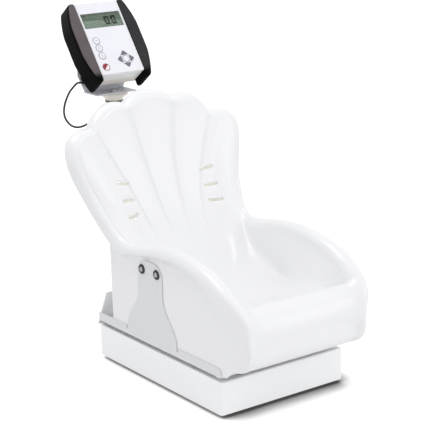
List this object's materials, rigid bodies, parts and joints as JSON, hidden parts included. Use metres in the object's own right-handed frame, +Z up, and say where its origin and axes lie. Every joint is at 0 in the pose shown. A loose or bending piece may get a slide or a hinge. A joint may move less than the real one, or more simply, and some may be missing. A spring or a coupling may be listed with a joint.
{
  "type": "baby weighing scale",
  "caption": "Platform scale with a moulded scallop-backed baby seat, a deck on a load cell and a tilting, swivelling keypad indicator on a rear column.",
  "frame": {"origin": "middle of the whole scale's footprint box, on the floor", "axes": "+Z up, the sitter faces -Y and the indicator stands at +Y, +X is the sitter's left side"},
  "size_m": [0.4368, 0.7691, 0.7327],
  "materials": {
    "white_enamel": "satin white enamel",
    "zinc_plate": "zinc plated",
    "bright_steel": "bright",
    "load_cell_metal": "milled",
    "foot_rubber": "matt",
    "deck_metal": "satin light grey",
    "seat_plastic": "smooth white with a soft sheen",
    "black_plastic": "satin black",
    "cable_jacket": "satin black",
    "brass": "turned",
    "bracket_paint": "satin blue grey",
    "collar_plastic": "matt ivory",
    "housing_plastic": "fine grained light grey",
    "overlay_film": "matt printed film",
    "rail_rubber": "fine grained dark grey",
    "display_window": "clear window",
    "display_green": "grey green liquid crystal",
    "board_green": "varnished board",
    "battery_sleeve": "shrink sleeve",
    "key_film": "matt embossed film",
    "key_red": "matt embossed film, red and white",
    "key_dark": "matt embossed film"
  },
  "bodies": {
    "base": {"base_housing": "white_enamel", "bottom_plate": "zinc_plate", "corner_posts": "zinc_plate", "foot_studs": "zinc_plate", "feet": "foot_rubber", "load_cell": "load_cell_metal", "cell_spacer": "zinc_plate", "cell_bolts": "zinc_plate", "overload_screw": "zinc_plate", "column_foot": "white_enamel", "column_foot_bolts": "zinc_plate", "column": "white_enamel", "column_bolts": "zinc_plate", "column_plug": "black_plastic", "swivel_ring": "black_plastic", "cable_grommet": "foot_rubber", "cable": "cable_jacket"},
    "platform": {"deck": "deck_metal", "platform_post": "zinc_plate", "post_screws": "zinc_plate", "seat": "seat_plastic", "ear_washers": "black_plastic", "ear_screws": "bright_steel", "ear_nuts": "brass", "seat_screws": "zinc_plate"},
    "bracket": {"yoke": "bracket_paint", "swivel_collar": "collar_plastic", "swivel_bolt": "bright_steel", "tilt_pin": "bright_steel", "tilt_knobs": "black_plastic"},
    "indicator": {"front_housing": "housing_plastic", "rear_housing": "housing_plastic", "rail_left": "rail_rubber", "rail_right": "rail_rubber", "front_overlay": "overlay_film", "display_lens": "display_window", "display_module": "display_green", "main_board": "board_green", "battery_pack": "battery_sleeve", "battery_door": "housing_plastic", "housing_screws": "zinc_plate", "cable_gland": "black_plastic"},
    "key_round_1": {"key_round_1": "key_film"},
    "key_round_2": {"key_round_2": "key_film"},
    "key_round_3": {"key_round_3": "key_film"},
    "key_power": {"key_power": "key_red"},
    "key_centre": {"key_centre": "key_film"},
    "key_up": {"key_up": "key_dark"},
    "key_down": {"key_down": "key_dark"},
    "key_left": {"key_left": "key_dark"},
    "key_right": {"key_right": "key_dark"}
  },
  "joints": [
    {"name": "platform_give", "type": "slide", "parent": "base", "child": "platform", "axis": [0, 0, -1], "range_m": [0, 0.0005], "stiffness_N_per_m": 589000, "springref_m": -0.00011},
    {"name": "indicator_swivel", "type": "hinge", "parent": "base", "child": "bracket", "pos_m": [0, 0.2831, 0.523], "axis": [0, 0, 1], "range_deg": [-45, 45], "deforming": ["cable"]},
    {"name": "indicator_tilt", "type": "hinge", "parent": "bracket", "child": "indicator", "pos_m": [0, 0.3117, 0.5843], "axis": [1, 0, 0], "range_deg": [-15, 20], "deforming": ["cable"]},
    {"name": "key_round_1_press", "type": "slide", "parent": "indicator", "child": "key_round_1", "axis": [0, 0.8039, -0.5948], "range_m": [0, 0.0005], "stiffness_N_per_m": 1800},
    {"name": "key_round_2_press", "type": "slide", "parent": "indicator", "child": "key_round_2", "axis": [0, 0.8039, -0.5948], "range_m": [0, 0.0005], "stiffness_N_per_m": 1800},
    {"name": "key_round_3_press", "type": "slide", "parent": "indicator", "child": "key_round_3", "axis": [0, 0.8039, -0.5948], "range_m": [0, 0.0005], "stiffness_N_per_m": 1800},
    {"name": "key_power_press", "type": "slide", "parent": "indicator", "child": "key_power", "axis": [0, 0.8039, -0.5948], "range_m": [0, 0.0005], "stiffness_N_per_m": 1800},
    {"name": "key_centre_press", "type": "slide", "parent": "indicator", "child": "key_centre", "axis": [0, 0.8039, -0.5948], "range_m": [0, 0.0005], "stiffness_N_per_m": 1800},
    {"name": "key_up_press", "type": "slide", "parent": "indicator", "child": "key_up", "axis": [0, 0.8039, -0.5948], "range_m": [0, 0.0005], "stiffness_N_per_m": 1800},
    {"name": "key_down_press", "type": "slide", "parent": "indicator", "child": "key_down", "axis": [0, 0.8039, -0.5948], "range_m": [0, 0.0005], "stiffness_N_per_m": 1800},
    {"name": "key_left_press", "type": "slide", "parent": "indicator", "child": "key_left", "axis": [0, 0.8039, -0.5948], "range_m": [0, 0.0005], "stiffness_N_per_m": 1800},
    {"name": "key_right_press", "type": "slide", "parent": "indicator", "child": "key_right", "axis": [0, 0.8039, -0.5948], "range_m": [0, 0.0005], "stiffness_N_per_m": 1800}
  ]
}
